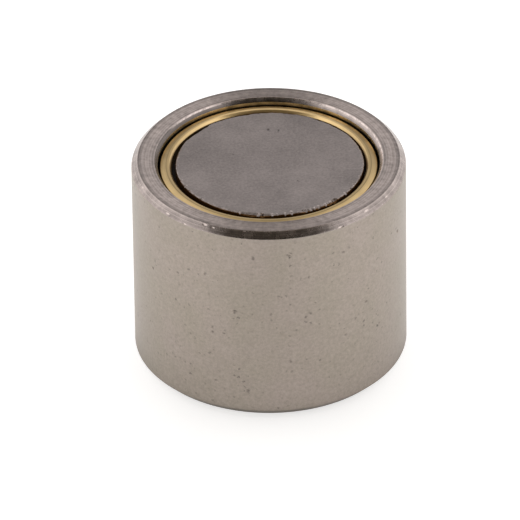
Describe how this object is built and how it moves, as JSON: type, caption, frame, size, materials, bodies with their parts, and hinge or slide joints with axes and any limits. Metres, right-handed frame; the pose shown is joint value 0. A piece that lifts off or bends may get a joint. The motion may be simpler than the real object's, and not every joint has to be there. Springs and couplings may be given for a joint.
{
  "type": "pot magnet",
  "caption": "Deep round holding magnet: a plated steel cup with a chamfered ground rim, a recessed brass sleeve and a bare magnet core, tapped in the back.",
  "frame": {"origin": "centre of the flat back face, which the magnet stands on", "axes": "+Z along the turning axis, out of the magnet face; +X towards the side where the core sits nearest the sleeve"},
  "size_m": [0.02, 0.02, 0.016],
  "materials": {
    "plated_steel": "satin nickel-like plating, finely pitted, ground rim",
    "brass": "turned, slightly dull",
    "magnet": "bare ground magnet alloy with a chipped edge",
    "adhesive": "cured dark epoxy"
  },
  "bodies": {
    "root": {"steel_pot": "plated_steel", "brass_sleeve": "brass", "magnet_core": "magnet", "adhesive_bond": "adhesive"}
  },
  "joints": []
}
